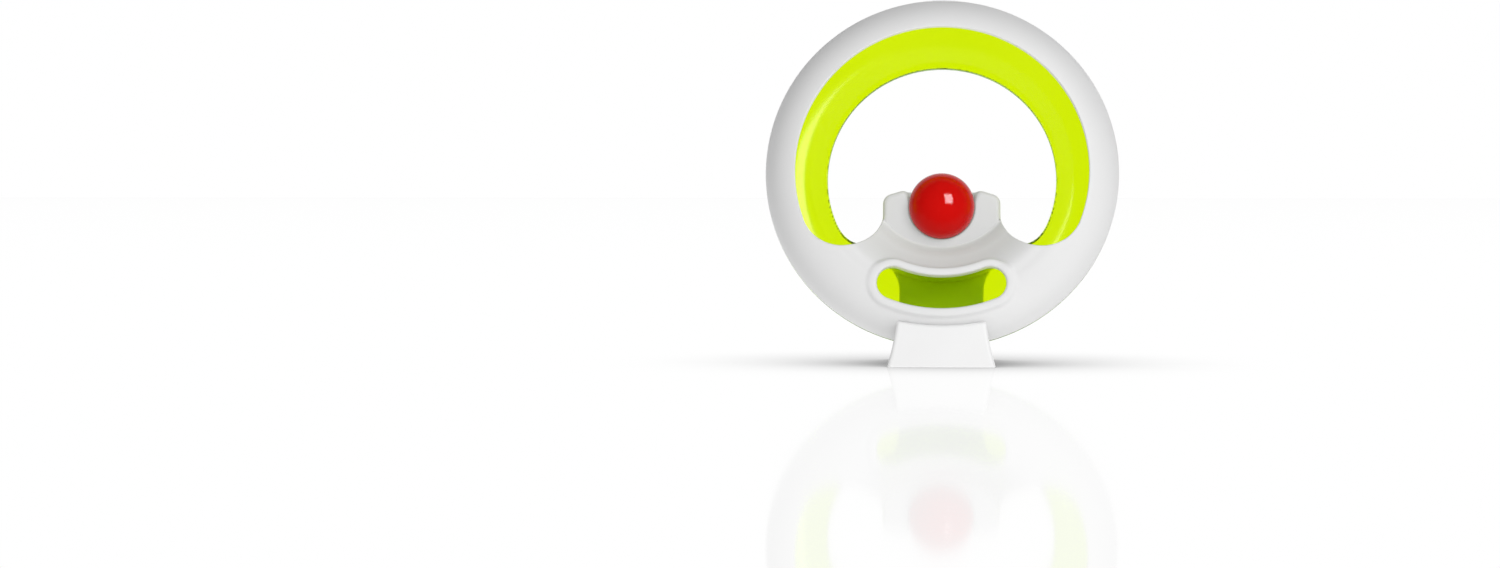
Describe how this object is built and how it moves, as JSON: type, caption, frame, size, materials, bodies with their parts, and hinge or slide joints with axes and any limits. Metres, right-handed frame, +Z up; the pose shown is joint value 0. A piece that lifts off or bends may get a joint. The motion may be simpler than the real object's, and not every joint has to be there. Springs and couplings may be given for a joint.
{
  "type": "ring maze ball puzzle",
  "caption": "Hollow ring of an opaque front shell and a clear coloured rear shell that a ball rolls round, with a slotted tunnel, a horned cradle and a saddle stand that holds the ring leaning back",
  "frame": {"origin": "on the floor, under the middle of the whole object's box", "axes": "+Z up, -Y to the front, +X to the right as seen from the front"},
  "size_m": [0.1072, 0.0462, 0.1104],
  "materials": {
    "front_shell": "satin moulded plastic",
    "rear_shell": "clear tinted plastic",
    "cradle": "satin moulded plastic",
    "ball": "high gloss",
    "stand": "satin moulded plastic"
  },
  "bodies": {
    "stand": {"stand": "stand"},
    "ring": {"front_shell": "front_shell", "rear_shell": "rear_shell", "cradle": "cradle"},
    "ball": {"ball": "ball"}
  },
  "joints": [
    {"name": "ring_lift", "type": "slide", "parent": "stand", "child": "ring", "axis": [0, 0.2079, 0.9781], "range_m": [0, 0.06]},
    {"name": "ball_out", "type": "slide", "parent": "ring", "child": "ball", "axis": [0, -0.9781, 0.2079], "range_m": [0, 0.03]}
  ]
}
